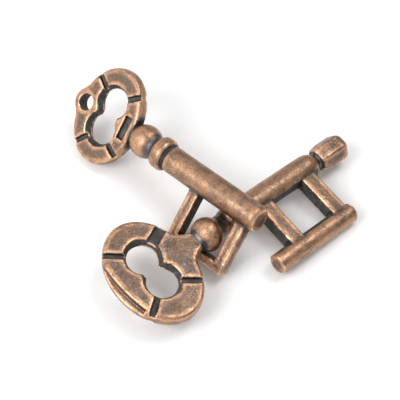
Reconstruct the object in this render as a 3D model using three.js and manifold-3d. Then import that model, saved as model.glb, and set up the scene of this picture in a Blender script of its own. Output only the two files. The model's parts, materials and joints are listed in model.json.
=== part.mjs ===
// Two interlocked cast-metal puzzle keys lying on a table, in millimetres, +Z up.
// The ring key's closed bit frame is threaded round the neck of the tip key.
// Each key is drawn in its own frame: X runs from the bow to the tip along the shank, the bit hangs
// on the -Y side, and Z is square to the flat faces. The part's origin is on the table, under the
// middle of the pair.
import * as THREE from "three";
import { mergeVertices } from "three/addons/utils/BufferGeometryUtils.js";
import Module from "manifold-3d";

// Shared by both castings
const SHANK_R = 3.55;
const BOW_THICK = 3.8;
const BOW_BEVEL = 0.95;
const LOBE_OFFSET = 3.9; // each window lobe's centre from the shank axis
const LOBE_R = 4.95;
const WINDOW_DRAFT = 0.85; // the window is this much tighter at mid thickness
const NOTCH_WIDTH = 1.5;
const NOTCH_DEPTH = 0.95;
const EDGE_BREAK = 0.35;

// Ring key, the upper one
const RING_BOW_X = 10.1;
const RING_BOW_Y = 13.45;
const EYE_X = -7.8;
const EYE_R = 4.1;
const EYE_HOLE_R = 2.25;
const POCKET_X = 6.85;
const POCKET_WIDTH = 1.9;
const POCKET_LENGTH = 6.5;
const POCKET_DEPTH = 0.9;
const BALL_X = 13.7;
const BALL_R = 4.45;
const RING_BEAD_X = 20.3;
const RING_BEAD_R = 4.4;
const RING_BEAD_HALF = 2.1;
const GROOVE_R = 3.0;
const RING_SHANK_START = 23.2;
const RING_END_X = 54.2;
const RING_END_BREAK = 2.0;
const FRAME_NEAR_X = 32.75;
const FRAME_FAR_X = 51.5;
const FRAME_BAR = 3.05;
const FRAME_OUTER_BAR = 2.35;
const FRAME_OUTER_Y = -17.25;
const FRAME_THICK = 3.8;

// Tip key, the lower one
const TIP_BOW_X = 10.95;
const TIP_BOW_Y = 14.65;
const TIP_BOW_SHIFT_Y = -0.3;
const COLLAR_END_X = 14.0;
const COLLAR_HALF_WIDTH = 3.0;
const LEDGE_X = -9.5;
const LEDGE_Z = 0.1;
const LEDGE_LENGTH = 15.5;
const LEDGE_CURVE_R = 40;
const LEDGE_TURN = 3.5;
const SLOT_WIDTH = 2.9;
const SLOT_DEPTH = 0.8;
const SLOT_ANGLE = 22;
const EGG_X = 18.3;
const EGG_R = 4.5;
const EGG_HALF = 3.9;
const TIP_GROOVE_R = 2.9;
const TIP_SHANK_START = 23.4;
const SHOULDER_X = 54.2;
const TIP_NECK_X = 56.4;
const TIP_NECK_R = 2.3;
const KNOB_START_X = 56.8;
const KNOB_BODY_X = 59.9;
const KNOB_R = 3.95; // across the corners of its six flats
const KNOB_END_X = 67.4;
const CROSSBAR_NEAR = [33.4, 37.6];
const CROSSBAR_FAR = [48.6, 53.0];
const CROSSBAR_THICK = 4.55;
const WINDOW_WALL_Y = -2.75; // the shank is cut flat where it faces the bit window
const ROD_Y = -16.8;
const ROD_R = 2.63;
const ROD_START_X = 27.2;
const ROD_END_X = 54.6;

// How the pair lies: each bow's centre over the table, then yaw, pitch and roll in degrees
const TIP_KEY_POSE = { at: [-19.96, 0, 8.67], yaw: 0, pitch: 3.5, roll: 9.56 };
const RING_KEY_POSE = { at: [2.32, 43.87, 10.63], yaw: -84.99, pitch: -5.14, roll: 46.21 };

const wasm = await Module();
wasm.setup();

const copper = (name) =>
  new THREE.MeshStandardMaterial({ name, color: 0x9c7458, roughness: 0.42, metalness: 1.0 });

// A closed three.js geometry as a solid that can be joined and cut.
function solid(geometry, matrix = new THREE.Matrix4()) {
  const g = geometry.clone().applyMatrix4(matrix);
  g.deleteAttribute("normal");
  g.deleteAttribute("uv");
  const m = mergeVertices(g, 1e-4);
  return new wasm.Manifold(
    new wasm.Mesh({
      numProp: 3,
      vertProperties: m.attributes.position.array,
      triVerts: new Uint32Array(m.index.array),
    }),
  );
}

// A solid back as a three.js geometry.
function geometryOf(manifold) {
  const mesh = manifold.getMesh();
  const g = new THREE.BufferGeometry();
  g.setAttribute("position", new THREE.BufferAttribute(mesh.vertProperties, 3));
  g.setIndex(new THREE.BufferAttribute(mesh.triVerts, 1));
  g.computeVertexNormals();
  return g;
}

// A flat outline as a plate centred on z = 0 with broken edges.
function plate(shape, thickness, bevel, segments = 2, curveSegments = 12) {
  const g = new THREE.ExtrudeGeometry(shape, {
    depth: thickness - 2 * bevel,
    bevelEnabled: true,
    bevelThickness: bevel,
    bevelSize: bevel,
    bevelOffset: -bevel,
    bevelSegments: segments,
    curveSegments,
  });
  return solid(g, new THREE.Matrix4().makeTranslation(0, 0, -thickness / 2 + bevel));
}

function polygon(points) {
  return new THREE.Shape(points.map(([x, y]) => new THREE.Vector2(x, y)));
}

function ellipse(rx, ry, count, cy = 0) {
  const points = [];
  for (let i = 0; i < count; i++) {
    const t = (2 * Math.PI * i) / count;
    points.push([rx * Math.cos(t), cy + ry * Math.sin(t)]);
  }
  return polygon(points);
}

// A turned piece about the X axis from [x, radius] stations that start and end on the axis.
function turned(stations, segments = 32, start = 0) {
  const g = new THREE.LatheGeometry(
    stations.map(([x, r]) => new THREE.Vector2(r, x)),
    segments,
    start,
  );
  return solid(g, new THREE.Matrix4().makeRotationZ(-Math.PI / 2));
}

// Stations along an elliptical bead from station x0 to x1.
function bead(centre, half, radius, x0, x1, steps) {
  const out = [];
  for (let i = 0; i <= steps; i++) {
    const x = x0 + ((x1 - x0) * i) / steps;
    out.push([x, radius * Math.sqrt(Math.max(0, 1 - ((x - centre) / half) ** 2))]);
  }
  return out;
}

// A straight-sided cutter box, turned about Z by angle degrees.
function block(x, y, z, length, width, height, angle = 0) {
  const m = new THREE.Matrix4()
    .makeTranslation(x, y, z)
    .multiply(new THREE.Matrix4().makeRotationZ(THREE.MathUtils.degToRad(angle)));
  return solid(new THREE.BoxGeometry(length, width, height), m);
}

// The figure-8 window: two round lobes side by side across the shank axis.
function windowCutter() {
  const lobe = (y) => {
    const half = BOW_THICK / 2;
    const g = new THREE.LatheGeometry(
      [
        new THREE.Vector2(0, -half - 1),
        new THREE.Vector2(LOBE_R + 0.25, -half - 1),
        new THREE.Vector2(LOBE_R + 0.25, -half),
        new THREE.Vector2(LOBE_R, -half + 0.4),
        new THREE.Vector2(LOBE_R - WINDOW_DRAFT, 0),
        new THREE.Vector2(LOBE_R, half - 0.4),
        new THREE.Vector2(LOBE_R + 0.25, half),
        new THREE.Vector2(LOBE_R + 0.25, half + 1),
        new THREE.Vector2(0, half + 1),
      ],
      32,
    );
    const m = new THREE.Matrix4()
      .makeTranslation(0, y, 0)
      .multiply(new THREE.Matrix4().makeRotationX(Math.PI / 2));
    return solid(g, m);
  };
  const waist = block(0, 0, 0, 2 * (LOBE_R - 1.6), 2.4, BOW_THICK + 2);
  return lobe(LOBE_OFFSET).add(lobe(-LOBE_OFFSET)).add(waist);
}

// A narrow straight notch from a window lobe out to the bevel, at an angle from +X, on one face.
function notch(side, angle, face, reach, width = NOTCH_WIDTH, depth = NOTCH_DEPTH) {
  const a = THREE.MathUtils.degToRad(angle);
  const start = LOBE_R - 1;
  const mid = (start + reach) / 2;
  return block(
    mid * Math.cos(a),
    side * LOBE_OFFSET + mid * Math.sin(a),
    face * (BOW_THICK / 2 - depth + 1),
    reach - start,
    width,
    2,
    angle,
  );
}

function ringBow() {
  const eye = plate(ellipse(EYE_R, EYE_R, 36), BOW_THICK, BOW_BEVEL * 0.8, 3);
  const hole = new THREE.CylinderGeometry(EYE_HOLE_R, EYE_HOLE_R, BOW_THICK + 2, 28);
  const across = new THREE.Matrix4()
    .makeTranslation(EYE_X, 0, 0)
    .multiply(new THREE.Matrix4().makeRotationX(Math.PI / 2));
  let bow = plate(ellipse(RING_BOW_X, RING_BOW_Y, 72), BOW_THICK, BOW_BEVEL, 4)
    .add(eye.translate([EYE_X, 0, 0]))
    .subtract(windowCutter())
    .subtract(solid(hole, across));
  for (const face of [1, -1])
    for (const [side, angle] of [
      [1, 147],
      [1, 37],
      [-1, 231],
      [-1, -28],
    ])
      bow = bow.subtract(notch(side, angle, face, 9.6));
  const floor = BOW_THICK / 2 - POCKET_DEPTH;
  return bow.subtract(block(POCKET_X, 0, floor + 1, POCKET_WIDTH, POCKET_LENGTH, 2));
}

function ringShank() {
  return turned([
    [BALL_X - 3.9, 0],
    ...bead(BALL_X, BALL_R, BALL_R, BALL_X - 3.9, BALL_X + 3.2, 12),
    [17.5, GROOVE_R],
    [RING_BEAD_X - 2.0, GROOVE_R + 0.2],
    ...bead(RING_BEAD_X, RING_BEAD_HALF * 1.35, RING_BEAD_R, RING_BEAD_X - 1.85, RING_BEAD_X + 1.95, 8),
    [RING_SHANK_START - 0.55, GROOVE_R + 0.15],
    [RING_SHANK_START - 0.1, GROOVE_R + 0.25],
    [RING_SHANK_START + 0.3, SHANK_R],
    [RING_END_X - RING_END_BREAK, SHANK_R],
    [RING_END_X - 0.9, SHANK_R - 0.5],
    [RING_END_X, SHANK_R - 1.6],
    [RING_END_X, 0],
  ]);
}

// The closed rectangular bit: two crossbars and an outer bar in one flat frame.
function bitFrame() {
  const inner = FRAME_OUTER_Y + FRAME_OUTER_BAR;
  const u = polygon([
    [FRAME_NEAR_X, -1],
    [FRAME_NEAR_X, FRAME_OUTER_Y],
    [FRAME_FAR_X, FRAME_OUTER_Y],
    [FRAME_FAR_X, -1],
    [FRAME_FAR_X - FRAME_BAR, -1],
    [FRAME_FAR_X - FRAME_BAR, inner],
    [FRAME_NEAR_X + FRAME_BAR, inner],
    [FRAME_NEAR_X + FRAME_BAR, -1],
  ]);
  return plate(u, FRAME_THICK, EDGE_BREAK);
}

// The step on the rim opposite the shank: what lies outside a wide arc, above the ledge.
function ledgeCutter() {
  const turn = THREE.MathUtils.degToRad(LEDGE_TURN);
  const g = new THREE.CylinderGeometry(LEDGE_CURVE_R, LEDGE_CURVE_R, 12, 120);
  const m = new THREE.Matrix4()
    .makeTranslation(LEDGE_X + LEDGE_CURVE_R * Math.cos(turn), LEDGE_CURVE_R * Math.sin(turn), 0)
    .multiply(new THREE.Matrix4().makeRotationX(Math.PI / 2));
  return block(LEDGE_X - 1.5, 0, LEDGE_Z + 2, 6.4, LEDGE_LENGTH, 4).subtract(solid(g, m));
}

function tipBow() {
  const collar = polygon([
    [TIP_BOW_X - 3.4, 8.2],
    [TIP_BOW_X - 3.4, -8.2],
    [COLLAR_END_X - 2.4, -COLLAR_HALF_WIDTH - 1.2],
    [COLLAR_END_X, -COLLAR_HALF_WIDTH],
    [COLLAR_END_X, COLLAR_HALF_WIDTH],
    [COLLAR_END_X - 2.4, COLLAR_HALF_WIDTH + 1.2],
  ]);
  const rim = ellipse(TIP_BOW_X, TIP_BOW_Y, 72, TIP_BOW_SHIFT_Y);
  let bow = plate(rim, BOW_THICK, BOW_BEVEL, 4)
    .add(plate(collar, BOW_THICK, EDGE_BREAK))
    .subtract(windowCutter())
    .subtract(ledgeCutter());
  for (const face of [1, -1])
    for (const [side, angle] of [
      [1, 143],
      [-1, -35],
      [-1, 215],
    ])
      bow = bow.subtract(notch(side, angle, face, 10.4));
  return bow.subtract(notch(1, SLOT_ANGLE, 1, 12, SLOT_WIDTH, SLOT_DEPTH));
}

function tipShank() {
  return turned([
    [COLLAR_END_X - 2.5, 0],
    [COLLAR_END_X - 2.5, 1.7],
    ...bead(EGG_X, EGG_HALF, EGG_R, EGG_X - 3.5, EGG_X + 3.1, 12),
    [EGG_X + 3.8, TIP_GROOVE_R],
    [TIP_SHANK_START - 0.5, TIP_GROOVE_R + 0.1],
    [TIP_SHANK_START + 0.2, SHANK_R],
    [SHOULDER_X, SHANK_R],
    [SHOULDER_X + 0.9, SHANK_R - 0.25],
    [TIP_NECK_X - 0.2, SHANK_R - 0.8],
    [TIP_NECK_X, TIP_NECK_R],
    [KNOB_START_X + 0.6, TIP_NECK_R],
    [KNOB_START_X + 0.6, 0],
  ]);
}

// The six-sided knob on the tip, two of its flats level with the bow faces.
function tipKnob() {
  return turned(
    [
      [KNOB_START_X, 0],
      [KNOB_START_X, TIP_NECK_R + 0.6],
      [KNOB_BODY_X, KNOB_R],
      [KNOB_END_X - 2.4, KNOB_R],
      [KNOB_END_X - 1.1, KNOB_R - 0.6],
      [KNOB_END_X - 0.3, KNOB_R - 1.5],
      [KNOB_END_X, KNOB_R - 2.55],
      [KNOB_END_X, 0],
    ],
    6,
    Math.PI / 6,
  );
}

function windowWallCutter() {
  const x0 = CROSSBAR_NEAR[1];
  const x1 = CROSSBAR_FAR[0];
  return block((x0 + x1) / 2, WINDOW_WALL_Y - 1, 0, x1 - x0, 2, 2 * SHANK_R);
}

function crossbar([x0, x1]) {
  const outline = polygon([
    [x0, -1],
    [x0, ROD_Y],
    [x1, ROD_Y],
    [x1, -1],
  ]);
  return plate(outline, CROSSBAR_THICK, EDGE_BREAK);
}

function outerRod() {
  const rod = turned(
    [
      [ROD_START_X, 0],
      [ROD_START_X, ROD_R - 0.4],
      [ROD_START_X + 0.4, ROD_R],
      [ROD_END_X - 1.7, ROD_R],
      [ROD_END_X - 0.6, ROD_R - 0.5],
      [ROD_END_X, ROD_R - 1.4],
      [ROD_END_X, 0],
    ],
    28,
  );
  return rod.translate([0, ROD_Y, 0]);
}

function key(name, manifold, pose) {
  const mesh = new THREE.Mesh(geometryOf(manifold), copper("antique_copper"));
  mesh.name = name;
  const group = new THREE.Group();
  const rad = THREE.MathUtils.degToRad;
  group.rotation.set(rad(pose.roll), rad(pose.pitch), rad(pose.yaw), "ZYX");
  group.position.set(...pose.at);
  group.add(mesh);
  return group;
}

const ringKey = ringShank().add(ringBow()).add(bitFrame());
const tipKey = tipShank()
  .subtract(windowWallCutter())
  .add(tipBow())
  .add(tipKnob())
  .add(crossbar(CROSSBAR_NEAR))
  .add(crossbar(CROSSBAR_FAR))
  .add(outerRod());

const puzzle = new THREE.Group();
puzzle.add(key("tip_key", tipKey, TIP_KEY_POSE), key("ring_key", ringKey, RING_KEY_POSE));

// Stand the pair on z = 0 with its middle over the origin.
const box = new THREE.Box3().setFromObject(puzzle, true);
const centre = box.getCenter(new THREE.Vector3());
puzzle.position.set(-centre.x, -centre.y, -box.min.z);

export default puzzle;
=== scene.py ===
"""Two interlocked cast-metal puzzle keys: fine surfaces and an antique-copper finish.

Each key's surface is the zero level of a distance field, worked out in the key's own frame in
millimetres: X runs from the bow to the tip, the bit hangs on the -Y side, Z is square to the faces.
"""

import json
import math
from collections import namedtuple

import bpy
import numpy as np
from mathutils import Matrix, Vector


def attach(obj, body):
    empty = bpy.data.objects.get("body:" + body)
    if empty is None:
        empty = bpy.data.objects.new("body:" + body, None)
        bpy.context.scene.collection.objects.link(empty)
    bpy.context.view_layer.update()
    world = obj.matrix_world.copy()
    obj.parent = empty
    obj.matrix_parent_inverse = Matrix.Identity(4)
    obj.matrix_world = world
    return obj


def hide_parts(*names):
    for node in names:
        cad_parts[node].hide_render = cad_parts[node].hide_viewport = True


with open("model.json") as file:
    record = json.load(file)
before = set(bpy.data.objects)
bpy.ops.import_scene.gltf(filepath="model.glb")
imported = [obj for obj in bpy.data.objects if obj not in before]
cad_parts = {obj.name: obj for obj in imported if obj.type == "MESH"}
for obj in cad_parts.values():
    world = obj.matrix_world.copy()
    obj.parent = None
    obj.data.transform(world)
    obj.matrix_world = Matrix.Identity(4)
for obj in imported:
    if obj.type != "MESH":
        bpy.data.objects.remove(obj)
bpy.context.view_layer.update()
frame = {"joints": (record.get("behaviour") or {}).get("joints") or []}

MM = 0.001

# ---------------------------------------------------------------- sizes, in millimetres
#
# A FILLET or EDGE is the width over which two shapes blend, and a ROUND or CORNER is a radius.
# A notch is given by the window lobe it starts from, +1 or -1 along Y, and its angle from +X.
# A SLOPE scales a tapered field back to a true distance.

# Shared by both castings
SHANK_R = 3.55
BOW_HALF = 1.9
BOW_ROUND = 0.95
LOBE_OFFSET = 3.9
LOBE_R = 4.95
LOBE_FILLET = 0.9
WAIST_HALF = (3.35, 1.2)
WAIST_ROUND = 0.6
WAIST_FILLET = 0.8
WINDOW_EDGE = 0.3
WINDOW_DRAFT = 0.95
NOTCH_WIDTH = 1.45
NOTCH_DEPTH = 0.95
NOTCH_DRAFT = 0.22
NOTCH_CORNER = 0.2
NOTCH_FLOOR_ROUND = 0.3
NOTCH_OVERLAP = 1
CUT_EDGE = 0.22
CORE_ROUND = 0.5
CORE_OVERLAP = 2
EDGE_BREAK = 0.35
PARTING_RIDGE = 0.07
PARTING_WIDTH = 0.3

# Ring key, the upper one
RING_BOW = (10.1, 13.45)
RING_NOTCHES = ((1, 147), (1, 37), (-1, 231), (-1, -28))
RING_NOTCH_REACH = 9.6
EYE_X = -7.8
EYE_R = 4.1
EYE_HOLE_R = 2.25
EYE_FILLET = 1.2
EYE_EDGE = 0.35
POCKET_X = 6.85
POCKET_HALF = (1.15, 3.25)
POCKET_DEPTH = 0.9
POCKET_CORNER = 0.3
POCKET_FLOOR_ROUND = 0.2
RING_BOW_FILLET = 0.5
BALL_X = 13.7
BALL_R = 4.45
BALL_FILLET = 0.5
RING_BEAD_X = 20.2
RING_BEAD_HALF = 2.15
RING_BEAD_R = 4.42
RING_BEAD_ROUND = 1.6
RING_BEAD_FILLET = 0.6
RING_CORE_R = 3.2
RING_SHANK_START = 22.75
RING_SHANK_ROUND = 0.6
RING_SHANK_FILLET = 0.5
RING_END_X = 54.2
RING_END_ROUND = 2.2
FRAME_X = (32.75, 51.5)
FRAME_BAR = 3.05
FRAME_OUTER_BAR = 2.35
FRAME_OUTER_Y = -17.25
FRAME_HALF = 1.9
FRAME_CORNER = 0.5
FRAME_INNER_CORNER = 0.3
FRAME_EDGE = 0.2
FRAME_FILLET = 0.7

# Tip key, the lower one
TIP_BOW = (10.95, 14.65)
TIP_BOW_SHIFT_Y = -0.3
TIP_NOTCHES = ((1, 143), (-1, -35), (-1, 215))
TIP_NOTCH_REACH = 10.6
COLLAR_X = (6.0, 12.4)
COLLAR_R = (7.2, 3.1)
COLLAR_FILLET = 1.0
TIP_BOW_FILLET = 0.9
LEDGE_X = -9.5
LEDGE_Z = 0.1
LEDGE_HALF_LENGTH = 7.75
LEDGE_TURN = 3.5
LEDGE_CURVE_R = 40.0
LEDGE_CORNER = 0.3
LEDGE_FLOOR_ROUND = 0.2
LEDGE_EDGE = 0.25
LEDGE_MARGIN = 0.5
LEDGE_TARNISH = 0.2
SLOT_WIDTH = 2.9
SLOT_DEPTH = 0.8
SLOT_ANGLE = 22
SLOT_REACH = 12
EGG_X = 18.2
EGG_HALF = 4.1
EGG_R = 4.5
EGG_FILLET = 0.6
TIP_CORE_R = 2.95
TIP_SHANK_START = 23.1
TIP_SHANK_ROUND = 2.2
TIP_SHANK_FILLET = 0.4
SHOULDER_X = (54.2, 56.5)
SHOULDER_TAPER = 0.42
SHOULDER_SLOPE = 0.92
SHOULDER_ROUND = 0.6
TIP_NECK_R = 2.3
TIP_NECK_FILLET = 0.3
TIP_NECK_OVERLAP = 1
KNOB_X = (56.9, 67.1)
KNOB_APOTHEM = 3.44
KNOB_TAPER = 0.2
KNOB_TAPER_LENGTH = 3.1
KNOB_SLOPE = 0.95
KNOB_ROUND = 2.4
KNOB_HEEL_ROUND = 1.2
KNOB_SIDE_ROUND = 0.5
KNOB_TAPER_ROUND = 0.25
CROSSBARS = ((33.4, 37.6), (48.6, 53.0))
CROSSBAR_HALF = 2.275
CROSSBAR_OVERLAP = 1
WINDOW_WALL_Y = -2.75
WINDOW_WALL_EDGE = 0.2
ROD_Y = -16.8
ROD_R = 2.63
ROD_X = (27.2, 54.6)
ROD_HEEL_ROUND = 0.35
ROD_TIP_ROUND = 1.3
ROD_FILLET = 0.5
TIP_BIT_FILLET = 0.5

# How the keys lie, in degrees, and from one bow's centre to the other's
TIP_ROLL = 9.56
RING_TURN = (-84.99, -5.14, 46.21)
RING_FROM_TIP = (22.28, 43.87, 1.96)

# The grid boxes that hold each key, in its own frame, from its lowest to its highest corner
RING_KEY_ROOM = ((-13, -18.5, -5.5), (55.5, 14.6, 5.5))
TIP_KEY_ROOM = ((-12, -20.5, -5.5), (68.6, 15.5, 5.5))
GRID_STEP = 0.23
FAR = 1e3

# Points are drawn back onto the surface by Newton steps, none of them long
SLOPE_STEP = 0.02
LEAST_SLOPE = 0.2
LONGEST_MOVE = 0.15
EVENING_ROUNDS = 4
EVENING_SHARE = 0.5

# How a casting's surface strays from its drawing: (height, feature size)
SURFACE_SEED = 7
LONG_WAVES = (0.025, 4.2)
SHORT_WAVES = (0.009, 1.3)
PITS = (0.16, 0.62)
PIT_THRESHOLD = 0.62

# How far round a point its finish looks, and what counts as a full edge, crown or recess
HOLLOW_REACHES = (0.45, 0.9, 1.8, 3.2)
BESIDE_CROSSBARS = 2.0
RECESS_DEPTH = 0.7
RECESS_START = 0.15
MARGIN_REACH = 1.5
EDGE_REACH = 0.4
GENTLE_BEND = 0.35
SHARP_BEND = 1.6
CROWN_REACH = 1.2
FULL_CROWN = 0.42


# ---------------------------------------------------------------- distance fields


def smooth_min(a, b, k):
    """The lower of a and b, blended over a width k."""
    h = np.maximum(k - np.abs(a - b), 0.0) / k
    return np.minimum(a, b) - h * h * k / 4


def smooth_max(a, b, k):
    return -smooth_min(-a, -b, k)


def corner(a, b, r):
    """Inside both half-spaces a and b, their shared edge rounded to radius r."""
    qa, qb = a + r, b + r
    outside = np.hypot(np.maximum(qa, 0.0), np.maximum(qb, 0.0))
    return np.minimum(np.maximum(qa, qb), 0.0) + outside - r


def rectangle(x, y, half_x, half_y, r):
    return corner(np.abs(x) - half_x, np.abs(y) - half_y, r)


def ellipse(x, y, radii):
    """Nearly the distance from an ellipse, exact at its rim."""
    a, b = radii
    level = np.hypot(x / a, y / b)
    slope = np.hypot(x / a**2, y / b**2)
    return level * (level - 1) / np.maximum(slope, 1e-4)


def turned_bar(x, rho, x0, x1, radius, r):
    """A round bar about X from x0 to x1, its ends rounded to r."""
    return rectangle(x - (x0 + x1) / 2, rho, (x1 - x0) / 2, radius, r)


def cone_blob(x, y, stations, radii):
    """A flat outline that narrows from one round end to the other."""
    (x0, x1), (r0, r1) = stations, radii
    t = np.clip((x - x0) / (x1 - x0), 0, 1)
    return np.hypot(x - x0 - t * (x1 - x0), y) - (r0 + t * (r1 - r0))


def window(x, y, z):
    """The figure-8 opening, slightly tighter at mid thickness."""
    upper = np.hypot(x, y - LOBE_OFFSET)
    lower = np.hypot(x, y + LOBE_OFFSET)
    lobes = smooth_min(upper, lower, LOBE_FILLET) - LOBE_R
    waist = rectangle(x, y, *WAIST_HALF, WAIST_ROUND)
    narrowing = WINDOW_DRAFT * np.clip(1 - np.abs(z) / BOW_HALF, 0, 1)
    return smooth_min(lobes, waist, WAIST_FILLET) + narrowing


def notch(x, y, z, side, angle, reach, face, width=NOTCH_WIDTH, depth=NOTCH_DEPTH):
    """A straight cut in one face from a window lobe outwards, at an angle from +X."""
    a = math.radians(angle)
    dy = y - side * LOBE_OFFSET
    along = x * math.cos(a) + dy * math.sin(a)
    across = -x * math.sin(a) + dy * math.cos(a)
    above = face * z - BOW_HALF + depth
    walls = np.abs(across) - width / 2 - NOTCH_DRAFT * (above - depth / 2)
    start = LOBE_R - NOTCH_OVERLAP
    ends = np.abs(along - (start + reach) / 2) - (reach - start) / 2
    return corner(corner(walls, ends, NOTCH_CORNER), -above, NOTCH_FLOOR_ROUND)


def cut(body, tool, k=CUT_EDGE):
    return smooth_max(body, -tool, k)


def ring_bow(x, y, z, uncut):
    rim = ellipse(x, y, RING_BOW)
    eye = np.hypot(x - EYE_X, y) - EYE_R
    body = corner(smooth_min(rim, eye, EYE_FILLET), np.abs(z) - BOW_HALF, BOW_ROUND)
    if uncut:
        return body
    body = cut(body, window(x, y, z), WINDOW_EDGE)
    body = cut(body, np.hypot(x - EYE_X, y) - EYE_HOLE_R, EYE_EDGE)
    for face in (1, -1):
        for side, angle in RING_NOTCHES:
            body = cut(body, notch(x, y, z, side, angle, RING_NOTCH_REACH, face))
    pocket = rectangle(x - POCKET_X, y, *POCKET_HALF, POCKET_CORNER)
    return cut(body, corner(pocket, BOW_HALF - POCKET_DEPTH - z, POCKET_FLOOR_ROUND))


def ring_shank(x, rho):
    ball = np.hypot(x - BALL_X, rho) - BALL_R
    bead = rectangle(x - RING_BEAD_X, rho, RING_BEAD_HALF, RING_BEAD_R, RING_BEAD_ROUND)
    core_end = RING_SHANK_START + CORE_OVERLAP
    core = turned_bar(x, rho, BALL_X, core_end, RING_CORE_R, CORE_ROUND)
    shank = turned_bar(x, rho, RING_SHANK_START, RING_END_X, SHANK_R, RING_SHANK_ROUND)
    shank = corner(shank, x - RING_END_X, RING_END_ROUND)
    turned = smooth_min(smooth_min(ball, core, BALL_FILLET), bead, RING_BEAD_FILLET)
    return smooth_min(turned, shank, RING_SHANK_FILLET)


def bit_frame(x, y, z, uncut):
    """The closed rectangular bit, two crossbars and an outer bar in one flat frame."""
    near, far = FRAME_X
    middle = (near + far) / 2
    depth = -FRAME_OUTER_Y
    half = (far - near) / 2
    outline = rectangle(x - middle, y, half, depth, FRAME_CORNER)
    hole = (half - FRAME_BAR, depth - FRAME_OUTER_BAR)
    opening = rectangle(x - middle, y, *hole, FRAME_INNER_CORNER)
    plate = outline if uncut else cut(outline, opening, FRAME_EDGE)
    flat = smooth_max(plate, y, FRAME_EDGE)
    return corner(flat, np.abs(z) - FRAME_HALF, EDGE_BREAK)


def ring_key_field(x, y, z, uncut=False):
    shank = ring_shank(x, np.hypot(y, z))
    key = smooth_min(ring_bow(x, y, z, uncut), shank, RING_BOW_FILLET)
    return parting(smooth_min(key, bit_frame(x, y, z, uncut), FRAME_FILLET), z)


def ledge(x, y, z):
    """The step on the rim opposite the shank: the upper half of the rim is cut back."""
    a = math.radians(LEDGE_TURN)
    to_centre = np.hypot(
        x - LEDGE_X - LEDGE_CURVE_R * math.cos(a), y - LEDGE_CURVE_R * math.sin(a)
    )
    depth = LEDGE_CURVE_R - to_centre
    length = np.abs(y) - LEDGE_HALF_LENGTH
    return corner(corner(depth, length, LEDGE_CORNER), LEDGE_Z - z, LEDGE_FLOOR_ROUND)


def tip_bow(x, y, z, uncut):
    rim = ellipse(x, y - TIP_BOW_SHIFT_Y, TIP_BOW)
    collar = cone_blob(x, y, COLLAR_X, COLLAR_R)
    outline = smooth_min(rim, collar, COLLAR_FILLET)
    body = corner(outline, np.abs(z) - BOW_HALF, BOW_ROUND)
    body = cut(body, ledge(x, y, z), LEDGE_EDGE)
    if uncut:
        return body
    body = cut(body, window(x, y, z), WINDOW_EDGE)
    for face in (1, -1):
        for side, angle in TIP_NOTCHES:
            body = cut(body, notch(x, y, z, side, angle, TIP_NOTCH_REACH, face))
    slot = notch(x, y, z, 1, SLOT_ANGLE, SLOT_REACH, 1, SLOT_WIDTH, SLOT_DEPTH)
    return cut(body, slot)


def knob(x, y, z):
    """The six-sided knob: tapered towards the neck, rounded at the tip."""
    x0, x1 = KNOB_X
    sides = np.full_like(x, -FAR)
    for i in range(3):
        a = math.radians(90 + 60 * i)
        side = np.abs(y * math.cos(a) + z * math.sin(a))
        sides = smooth_max(sides, side, KNOB_SIDE_ROUND)
    taper = (sides - KNOB_APOTHEM + KNOB_TAPER * (x0 + KNOB_TAPER_LENGTH - x)) * KNOB_SLOPE
    flats = smooth_max(sides - KNOB_APOTHEM, taper, KNOB_TAPER_ROUND)
    tip = corner(flats, x - x1, KNOB_ROUND)
    return corner(tip, x0 - x, KNOB_HEEL_ROUND)


def tip_shank(x, y, z):
    rho = np.hypot(y, z)
    egg = ellipse(x - EGG_X, rho, (EGG_HALF, EGG_R))
    core_end = TIP_SHANK_START + CORE_OVERLAP
    core = turned_bar(x, rho, EGG_X, core_end, TIP_CORE_R, CORE_ROUND)
    shank = turned_bar(x, rho, TIP_SHANK_START, SHOULDER_X[1], SHANK_R, TIP_SHANK_ROUND)
    taper = (rho - SHANK_R + SHOULDER_TAPER * (x - SHOULDER_X[0])) * SHOULDER_SLOPE
    shank = smooth_max(shank, taper, SHOULDER_ROUND)
    wall = np.maximum(CROSSBARS[0][1] - x, x - CROSSBARS[1][0])
    shank = cut(shank, np.maximum(wall, y - WINDOW_WALL_Y), WINDOW_WALL_EDGE)
    neck_end = KNOB_X[0] + TIP_NECK_OVERLAP
    neck = turned_bar(x, rho, SHOULDER_X[0], neck_end, TIP_NECK_R, TIP_NECK_FILLET)
    turned = smooth_min(smooth_min(egg, core, EGG_FILLET), shank, TIP_SHANK_FILLET)
    necked = smooth_min(turned, neck, TIP_NECK_FILLET)
    return smooth_min(necked, knob(x, y, z), TIP_NECK_FILLET)


def tip_bit(x, y, z, uncut):
    """Two flat crossbars that carry a round outer rod."""
    bars = np.full_like(x, FAR)
    filled = [(CROSSBARS[0][0] - BESIDE_CROSSBARS, CROSSBARS[1][1] + BESIDE_CROSSBARS)]
    for x0, x1 in filled if uncut else CROSSBARS:
        flat = np.maximum(np.abs(x - (x0 + x1) / 2) - (x1 - x0) / 2, ROD_Y - y)
        flat = np.maximum(flat, y + CROSSBAR_OVERLAP)
        bars = np.minimum(bars, corner(flat, np.abs(z) - CROSSBAR_HALF, EDGE_BREAK))
    rho = np.hypot(y - ROD_Y, z)
    rod = turned_bar(x, rho, *ROD_X, ROD_R, ROD_HEEL_ROUND)
    rod = corner(rod, x - ROD_X[1], ROD_TIP_ROUND)
    return smooth_min(bars, rod, ROD_FILLET)


def tip_key_field(x, y, z, uncut=False):
    key = smooth_min(tip_bow(x, y, z, uncut), tip_shank(x, y, z), TIP_BOW_FILLET)
    return parting(smooth_min(key, tip_bit(x, y, z, uncut), TIP_BIT_FILLET), z)


def parting(field, z):
    """Adds the faint ridge that the two halves of a casting mould leave."""
    return field - PARTING_RIDGE * np.exp(-((z / PARTING_WIDTH) ** 2))


# ---------------------------------------------------------------- from field to mesh

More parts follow.
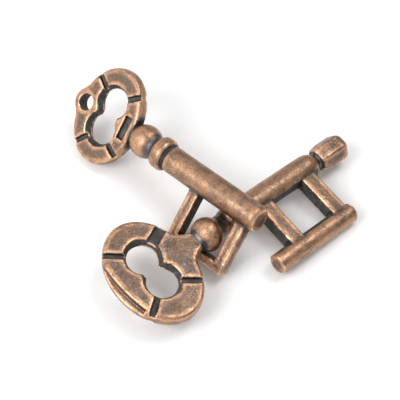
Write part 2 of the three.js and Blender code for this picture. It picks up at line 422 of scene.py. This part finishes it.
CORNERS = np.array([(i, j, k) for i in (0, 1) for j in (0, 1) for k in (0, 1)])
CUBE_EDGES = [
    (a, b)
    for a in range(8)
    for b in range(a + 1, 8)
    if np.abs(CORNERS[a] - CORNERS[b]).sum() == 1
]


def sample(field, low, high, step):
    axes = [np.arange(a, b + step, step, dtype=np.float32) for a, b in zip(low, high)]
    return field(*np.meshgrid(*axes, indexing="ij")).astype(np.float32)


def cell_points(values, cells):
    """One point in each crossed cell: the mean of where the surface cuts its edges."""
    at = [values[tuple((cells + c).T)] for c in CORNERS]
    total = np.zeros((len(cells), 3))
    hits = np.zeros(len(cells))
    for a, b in CUBE_EDGES:
        crossed = (at[a] < 0) != (at[b] < 0)
        t = at[a] / np.where(crossed, at[a] - at[b], 1)
        point = CORNERS[a] + t[:, None] * (CORNERS[b] - CORNERS[a])
        total += np.where(crossed[:, None], point, 0)
        hits += crossed
    return total / hits[:, None]


def quads_across(inside, index, axis):
    """A quad round each grid edge along this axis that the surface cuts."""
    u, v = (axis + 1) % 3, (axis + 2) % 3
    lower = np.take(inside, range(inside.shape[axis] - 1), axis)
    upper = np.take(inside, range(1, inside.shape[axis]), axis)
    edges = np.argwhere(lower != upper)
    step_u, step_v = np.eye(3, dtype=int)[u], np.eye(3, dtype=int)[v]
    ring = (edges - step_u - step_v, edges - step_v, edges, edges - step_u)
    quads = np.stack([index[tuple(p.T)] for p in ring], axis=1)
    leaving = lower[tuple(edges.T)]
    return np.where(leaving[:, None], quads, quads[:, ::-1])


def surface_net(values, low, step):
    inside = values < 0
    n = [s - 1 for s in inside.shape]
    count = sum(
        inside[i : i + n[0], j : j + n[1], k : k + n[2]].astype(np.int8)
        for i, j, k in CORNERS
    )
    crossed = (count > 0) & (count < 8)
    cells = np.argwhere(crossed)
    index = np.full(crossed.shape, -1, np.int32)
    index[crossed] = np.arange(len(cells))
    points = np.array(low) + step * (cells + cell_points(values, cells))
    quads = np.concatenate([quads_across(inside, index, axis) for axis in range(3)])
    return points, quads


def gradient(field, p):
    columns = []
    for axis in range(3):
        step = np.eye(3)[axis] * SLOPE_STEP
        rise = field(*(p + step).T) - field(*(p - step).T)
        columns.append(rise / (2 * SLOPE_STEP))
    return np.stack(columns, axis=1)


def onto_surface(field, p, rounds):
    for _ in range(rounds):
        g = gradient(field, p)
        size = np.maximum((g * g).sum(axis=1), LEAST_SLOPE)
        move = (field(*p.T) / size)[:, None] * g
        p = p - np.clip(move, -LONGEST_MOVE, LONGEST_MOVE)
    return p


def evened(p, quads):
    """Each point moved part of the way to the mean of its neighbours."""
    a = quads.ravel()
    b = np.roll(quads, -1, axis=1).ravel()
    count = np.bincount(a, minlength=len(p)) + np.bincount(b, minlength=len(p))
    total = np.stack(
        [
            np.bincount(a, p[b, i], len(p)) + np.bincount(b, p[a, i], len(p))
            for i in range(3)
        ],
        axis=1,
    )
    return p + EVENING_SHARE * (total / count[:, None] - p)


def lattice_noise(p, size, rng):
    """Smooth noise from -1 to 1 with features of a given size."""
    q = p / size
    q = q - q.min(axis=0)
    cell = np.floor(q).astype(int)
    t = q - cell
    t = t * t * (3 - 2 * t)
    values = rng.uniform(-1, 1, cell.max(axis=0) + 2)
    out = np.zeros(len(p))
    for c in CORNERS:
        weight = np.prod(np.where(c == 1, t, 1 - t), axis=1)
        out += weight * values[tuple((cell + c).T)]
    return out


def cast_unevenness(p, rng):
    """How far each point of a real casting stands off its drawing, in millimetres."""
    waves = sum(height * lattice_noise(p, size, rng) for height, size in (LONG_WAVES, SHORT_WAVES))
    depth, size = PITS
    return waves - depth * np.clip(lattice_noise(p, size, rng) - PIT_THRESHOLD, 0, 1)


def hollowness(field, p, normal):
    """From 0 on open faces to 1 deep in a notch or corner."""
    total = np.zeros(len(p))
    for reach in HOLLOW_REACHES:
        total += np.clip(1 - field(*(p + reach * normal).T) / reach, 0, 1)
    return total / len(HOLLOW_REACHES)


def recess(field, p):
    """How far inside the casting a point was before its openings and cuts, from 0 to 1."""
    return np.clip(-field(*p.T, True) / RECESS_DEPTH - RECESS_START, 0, 1)


def margin(field, p, normal):
    """From 0 in the middle of a face to 1 along its borders."""
    return np.clip(1 + field(*(p - MARGIN_REACH * normal).T) / MARGIN_REACH, 0, 1)


def bend(field, p, reach):
    """How strongly the surface bulges at a point, measured this far round it."""
    total = -6 * field(*p.T)
    for axis in range(3):
        step = np.eye(3)[axis] * reach
        total += field(*(p + step).T) + field(*(p - step).T)
    return total / reach**2


def edginess(field, p):
    """From 0 on flat faces and gentle rounds to 1 on a sharp outer edge."""
    return np.clip((bend(field, p, EDGE_REACH) - GENTLE_BEND) / SHARP_BEND, 0, 1)


def crowning(field, p):
    """From 0 on flat faces to 1 on balls and beads, which hands rub the most."""
    return np.clip(bend(field, p, CROWN_REACH) / FULL_CROWN, 0, 1)


def key_surface(field, room, clean):
    """The mesh of a field, with the measures that its finish is painted from.

    Patina hardly gathers where the field called clean is close.
    """
    values = sample(field, *room, GRID_STEP)
    points, quads = surface_net(values, room[0], GRID_STEP)
    for _ in range(EVENING_ROUNDS):
        points = onto_surface(field, evened(points, quads), 1)
    points = onto_surface(field, points, 2)
    normal = gradient(field, points)
    normal /= np.maximum(np.linalg.norm(normal, axis=1, keepdims=True), 1e-6)
    hollow = hollowness(field, points, normal)
    offset = cast_unevenness(points, np.random.default_rng(SURFACE_SEED))
    if clean is not None:
        hollow *= np.where(clean(*points.T) < LEDGE_MARGIN, LEDGE_TARNISH, 1)
    attributes = {
        "hollow": hollow,
        "edge": edginess(field, points),
        "recess": recess(field, points),
        "crown": crowning(field, points),
        "margin": margin(field, points, normal),
    }
    return points + offset[:, None] * normal, quads, attributes


def mesh_object(name, points, quads, attributes):
    mesh = bpy.data.meshes.new(name)
    mesh.vertices.add(len(points))
    mesh.vertices.foreach_set("co", points.astype(np.float32).ravel())
    mesh.loops.add(quads.size)
    mesh.loops.foreach_set("vertex_index", quads.astype(np.int32).ravel())
    mesh.polygons.add(len(quads))
    mesh.polygons.foreach_set("loop_start", np.arange(0, quads.size, 4, dtype=np.int32))
    mesh.update(calc_edges=True)
    mesh.polygons.foreach_set("use_smooth", np.ones(len(quads), bool))
    for key, values in attributes.items():
        layer = mesh.attributes.new(key, "FLOAT", "POINT")
        layer.data.foreach_set("value", values.astype(np.float32))
    mesh.validate()
    obj = bpy.data.objects.new(name, mesh)
    bpy.context.scene.collection.objects.link(obj)
    return obj


# ---------------------------------------------------------------- the two keys


def tip_key_matrix():
    """The tip key's frame: the joint turns about its shank axis, through its bow's centre."""
    joint = frame["joints"][0]
    along = Vector(joint["axis"]).normalized()
    pitch = math.asin(-along.z)
    turn = Matrix.Rotation(pitch, 4, "Y") @ Matrix.Rotation(math.radians(TIP_ROLL), 4, "X")
    return Matrix.Translation(Vector(joint["pos_m"]) / MM) @ turn


def ring_key_matrix():
    yaw, pitch, roll = (math.radians(a) for a in RING_TURN)
    turn = (
        Matrix.Rotation(yaw, 4, "Z")
        @ Matrix.Rotation(pitch, 4, "Y")
        @ Matrix.Rotation(roll, 4, "X")
    )
    centre = tip_key_matrix().translation + Vector(RING_FROM_TIP)
    return Matrix.Translation(centre) @ turn


def build_key(node, field, room, matrix, material, clean=None):
    """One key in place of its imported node, which it rides."""
    points, quads, attributes = key_surface(field, room, clean)
    m = np.array(matrix)
    points = (points @ m[:3, :3].T + m[:3, 3]) * MM
    obj = mesh_object(f"{node}_casting", points, quads, attributes)
    obj.data.materials.append(material)
    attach(obj, node)
    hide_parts(node)


# ---------------------------------------------------------------- the finish


class Nodes:
    """A short way to write a node tree. A method that adds a node gives back its output."""

    def __init__(self, tree):
        self.tree = tree
        self.tree.nodes.clear()

    def add(self, kind, settings=None, **inputs):
        node = self.tree.nodes.new(kind)
        for key, value in (settings or {}).items():
            setattr(node, key, value)
        for key, value in inputs.items():
            self.feed(node, key.replace("_", " "), value)
        return node

    def feed(self, node, key, value):
        socket = node.inputs[int(key)] if key.isdigit() else node.inputs[key]
        if isinstance(value, bpy.types.NodeSocket):
            self.tree.links.new(value, socket)
        else:
            socket.default_value = value

    def math(self, operation, a, b=0.0, clamp=False):
        node = self.add("ShaderNodeMath", {"operation": operation, "use_clamp": clamp})
        self.feed(node, "0", a)
        self.feed(node, "1", b)
        return node.outputs[0]

    def noise(self, where, scale, detail, roughness):
        node = self.add(
            "ShaderNodeTexNoise", Vector=where, Scale=scale, Detail=detail, Roughness=roughness
        )
        return node.outputs[0]

    def range(self, value, low, high, out_low=0.0, out_high=1.0):
        node = self.add("ShaderNodeMapRange", {"interpolation_type": "SMOOTHSTEP"}, Value=value)
        for key, number in (("1", low), ("2", high), ("3", out_low), ("4", out_high)):
            self.feed(node, key, number)
        return node.outputs[0]

    def mix(self, share, a, b):
        node = self.add("ShaderNodeMix", {"data_type": "RGBA"})
        self.feed(node, "0", share)
        self.feed(node, "6", a)
        self.feed(node, "7", b)
        return node.outputs[2]

    def times(self, a, b):
        return self.math("MULTIPLY", a, b)

    def texture(self, where, layer):
        noise = self.noise(where, layer.scale, layer.detail, layer.roughness)
        return self.range(noise, layer.low, layer.high, layer.least, layer.most)

    def attribute(self, name):
        node = self.add("ShaderNodeAttribute", {"attribute_name": name})
        return node.outputs["Fac"]


COPPER = (0.185, 0.126, 0.097, 1)
COPPER_ROSE = (0.150, 0.115, 0.103, 1)
COPPER_TAN = (0.225, 0.143, 0.098, 1)
COPPER_BROWN = (0.078, 0.051, 0.039, 1)
RUBBED_COPPER = (0.62, 0.355, 0.210, 1)
# Bright copper for worn edges, also used for the painted glints flecked over the surface
WORN_COPPER_AND_GLINTS = (0.90, 0.56, 0.35, 1)
GREY_PATINA = (0.16, 0.157, 0.163, 1)
DARK_PATINA = (0.050, 0.047, 0.044, 1)
DUSTY_PATINA = (0.105, 0.098, 0.092, 1)
BLACKENED = (0.010, 0.009, 0.008, 1)
SPECKLE = (0.05, 0.037, 0.032, 1)

# Noise at a scale per metre, of which low to high is stretched to run from least to most
Texture = namedtuple("Texture", "scale detail roughness low high least most")
PATCHES = Texture(240.0, 3.0, 0.6, 0.38, 0.62, 0.0, 1.0)
DRIFT = Texture(110.0, 2.0, 0.5, 0.42, 0.62, 0.0, 0.7)
BROWNING = Texture(480.0, 4.0, 0.65, 0.5, 0.72, 0.0, 0.6)
RUBBING = Texture(330.0, 4.0, 0.65, 0.36, 0.60, 0.315, 0.9)
GRAIN = Texture(2500.0, 3.0, 0.8, 0.50, 0.62, 0.0, 0.5)
# Bright flecks laid over the colour: painted glints of light on the metal
PAINTED_GLINTS = Texture(2200.0, 2.0, 0.7, 0.58, 0.68, 0.0, 0.26)
DUST = Texture(520.0, 4.0, 0.7, 0.42, 0.66, 0.0, 1.0)
WEAR = Texture(450.0, 4.0, 0.65, 0.38, 0.60, 0.1, 1.0)
SMUDGES = Texture(420.0, 3.0, 0.6, 0.35, 0.68, 0.34, 0.50)
PITTING = Texture(1700.0, 2.0, 0.5, 0.62, 0.74, 0.0, 0.5)

# How a measure of the surface turns into a share of colour: from low to high, then least to most
BORDER_RUB = (0.05, 0.9, 0.0, 0.5)
GREY_TIDE = (0.05, 0.17, 0.0, 0.75)
DARK_TIDE = (0.10, 0.27)
DULL_TIDE = (0.18, 0.45)
BLACK_HOLLOW = (0.26, 0.50)
EDGE_WEAR = (0.08, 0.85, 0.0, 0.75)

# The tide is how far up the patina has crept, and noise breaks its edge up
RECESS_TIDE = 0.8
TIDE_NOISE = (620.0, 3.0, 0.6)
TIDE_BREAK = 0.22
PATINA_ROUGHNESS = 0.2
PATINA_OVER_METAL = 0.55
EDGE_POLISH = 0.08

# Bump: noise as scale, detail and roughness, and its share of the height
SAND_NOISE = (3000.0, 3.0, 0.7)
SAND_HEIGHT = 0.45
LUMP_NOISE = (1200.0, 2.0, 0.5)
LUMP_HEIGHT = 0.9
BUMP_STRENGTH = 0.8
BUMP_DEPTH = 0.1 * MM

FLOOR_GREY = (0.90, 0.90, 0.90, 1)
FLOOR_ROUGHNESS = 0.9
FLOOR_SPECULAR = 0.1


def mottled_copper(n, where):
    """The plating before any wear."""
    colour = n.mix(n.texture(where, PATCHES), COPPER_ROSE, COPPER)
    colour = n.mix(n.texture(where, DRIFT), colour, COPPER_TAN)
    return n.mix(n.texture(where, BROWNING), colour, COPPER_BROWN)


def handled_copper(n, where, crown, border):
    """Rubbed where hands reach, flecked dark all over, and flecked bright with painted glints."""
    handled = n.math("MAXIMUM", crown, n.range(border, *BORDER_RUB))
    rubbed = n.times(handled, n.texture(where, RUBBING))
    colour = n.mix(rubbed, mottled_copper(n, where), RUBBED_COPPER)
    colour = n.mix(n.texture(where, GRAIN), colour, SPECKLE)
    # The bright flecks are painted glints, not marks on the metal
    return n.mix(n.texture(where, PAINTED_GLINTS), colour, WORN_COPPER_AND_GLINTS)


def tarnished(n, where, colour, tide, hollow):
    """Greyed, then darkened, then blackened, the deeper the spot lies."""
    colour = n.mix(n.range(tide, *GREY_TIDE), colour, GREY_PATINA)
    patina = n.mix(n.texture(where, DUST), DARK_PATINA, DUSTY_PATINA)
    colour = n.mix(n.range(tide, *DARK_TIDE), colour, patina)
    return n.mix(n.range(hollow, *BLACK_HOLLOW), colour, BLACKENED)


def worn_at_edges(n, where, colour, edge):
    worn = n.times(edge, n.texture(where, WEAR))
    return n.mix(n.range(worn, *EDGE_WEAR), colour, WORN_COPPER_AND_GLINTS)


def cast_bump(n, where):
    """Fine sand grain, soft lumps and shallow pits."""
    sand = n.times(n.noise(where, *SAND_NOISE), SAND_HEIGHT)
    lumps = n.times(n.noise(where, *LUMP_NOISE), LUMP_HEIGHT)
    height = n.math("SUBTRACT", n.math("ADD", sand, lumps), n.texture(where, PITTING))
    bump = n.add("ShaderNodeBump", Strength=BUMP_STRENGTH, Distance=BUMP_DEPTH, Height=height)
    return bump.outputs[0]


def antique_copper():
    material = bpy.data.materials.new("antique_copper_finish")
    material.use_nodes = True
    n = Nodes(material.node_tree)
    where = n.add("ShaderNodeTexCoord").outputs["Object"]
    hollow, recessed, edge, crown, border = (
        n.attribute(name) for name in ("hollow", "recess", "edge", "crown", "margin")
    )
    broken = n.times(n.noise(where, *TIDE_NOISE), TIDE_BREAK)
    kept = n.math("ADD", hollow, n.times(recessed, RECESS_TIDE))
    tide = n.math("ADD", kept, n.math("SUBTRACT", broken, TIDE_BREAK / 2))
    colour = handled_copper(n, where, crown, border)
    colour = tarnished(n, where, colour, tide, hollow)
    dulled = n.range(tide, *DULL_TIDE)
    rough = n.math("ADD", n.texture(where, SMUDGES), n.times(dulled, PATINA_ROUGHNESS))
    rough = n.math("SUBTRACT", rough, n.times(edge, EDGE_POLISH), clamp=True)
    shader = n.add("ShaderNodeBsdfPrincipled")
    n.feed(shader, "Base Color", worn_at_edges(n, where, colour, edge))
    n.feed(shader, "Roughness", rough)
    n.feed(shader, "Metallic", n.math("SUBTRACT", 1.0, n.times(dulled, PATINA_OVER_METAL)))
    n.feed(shader, "Normal", cast_bump(n, where))
    output = n.add("ShaderNodeOutputMaterial")
    n.feed(output, "Surface", shader.outputs[0])
    return material


def pale_floor_material():
    material = bpy.data.materials.new("pale_floor")
    material.use_nodes = True
    shader = material.node_tree.nodes["Principled BSDF"]
    shader.inputs["Base Color"].default_value = FLOOR_GREY
    shader.inputs["Roughness"].default_value = FLOOR_ROUGHNESS
    shader.inputs["Specular IOR Level"].default_value = FLOOR_SPECULAR
    return material


# ---------------------------------------------------------------- camera, lights and floor

CAMERA_AZIMUTH = -43.53
CAMERA_ELEVATION = 53.90
CAMERA_ROLL = -2.526
CAMERA_TARGET = (-0.55 * MM, -5.02 * MM, 0.0)
CAMERA_DISTANCE = 0.3063
CAMERA_LENS = 104.03
CAMERA_SENSOR = 36

# Softboxes: where they stand, in metres, how wide they are and their power in watts
KEY_LIGHT = ((-0.38, 0.04, 0.37), 0.30, 1.3)
OVERHEAD_LIGHT = ((0.24, -0.08, 0.54), 0.26, 0.95)

# The surroundings are brightest towards the key side: how far a direction faces it, how bright
KEY_SIDE = (-0.80, 0.45, 0.35)
FACING = (-0.7, 0.9)
SURROUNDINGS = (0.34, 1.1)

FLOOR_SIZE = 4
FLOOR_Z = -0.03 * MM


def place_camera():
    data = bpy.data.cameras.new("camera")
    data.sensor_width = CAMERA_SENSOR
    data.lens = CAMERA_LENS
    camera = bpy.data.objects.new("camera", data)
    bpy.context.scene.collection.objects.link(camera)
    azimuth, elevation = math.radians(CAMERA_AZIMUTH), math.radians(CAMERA_ELEVATION)
    away = Vector(
        (
            math.sin(azimuth) * math.cos(elevation),
            -math.cos(azimuth) * math.cos(elevation),
            math.sin(elevation),
        )
    )
    turn = away.to_track_quat("Z", "Y").to_matrix().to_4x4()
    roll = Matrix.Rotation(math.radians(CAMERA_ROLL), 4, "Z")
    centre = Vector(CAMERA_TARGET) + CAMERA_DISTANCE * away
    camera.matrix_world = Matrix.Translation(centre) @ turn @ roll.inverted()
    bpy.context.scene.camera = camera


def soft_light(name, at, size, power):
    data = bpy.data.lights.new(name, "AREA")
    data.shape = "DISK"
    data.size = size
    data.energy = power
    light = bpy.data.objects.new(name, data)
    bpy.context.scene.collection.objects.link(light)
    aim = Vector(at).to_track_quat("Z", "Y").to_matrix().to_4x4()
    light.matrix_world = Matrix.Translation(at) @ aim


def light_the_studio():
    """A key softbox on the bow side, a weaker one overhead, and surroundings that dim away."""
    world = bpy.data.worlds.new("studio")
    world.use_nodes = True
    n = Nodes(world.node_tree)
    where = n.add("ShaderNodeTexCoord").outputs["Generated"]
    facing = n.add("ShaderNodeVectorMath", {"operation": "DOT_PRODUCT"})
    n.feed(facing, "0", where)
    n.feed(facing, "1", KEY_SIDE)
    strength = n.range(facing.outputs["Value"], *FACING, *SURROUNDINGS)
    background = n.add("ShaderNodeBackground", Color=(1, 1, 1, 1), Strength=strength)
    output = n.add("ShaderNodeOutputWorld")
    n.feed(output, "Surface", background.outputs[0])
    bpy.context.scene.world = world
    soft_light("key", *KEY_LIGHT)
    soft_light("overhead", *OVERHEAD_LIGHT)


def lay_floor():
    bpy.ops.mesh.primitive_plane_add(size=FLOOR_SIZE, location=(0, 0, FLOOR_Z))
    floor = bpy.context.object
    floor.name = "floor"
    floor.data.materials.append(pale_floor_material())


place_camera()
light_the_studio()
lay_floor()
bpy.context.scene.view_settings.view_transform = "Standard"

finish = antique_copper()
build_key("ring_key", ring_key_field, RING_KEY_ROOM, ring_key_matrix(), finish)
build_key("tip_key", tip_key_field, TIP_KEY_ROOM, tip_key_matrix(), finish, ledge)
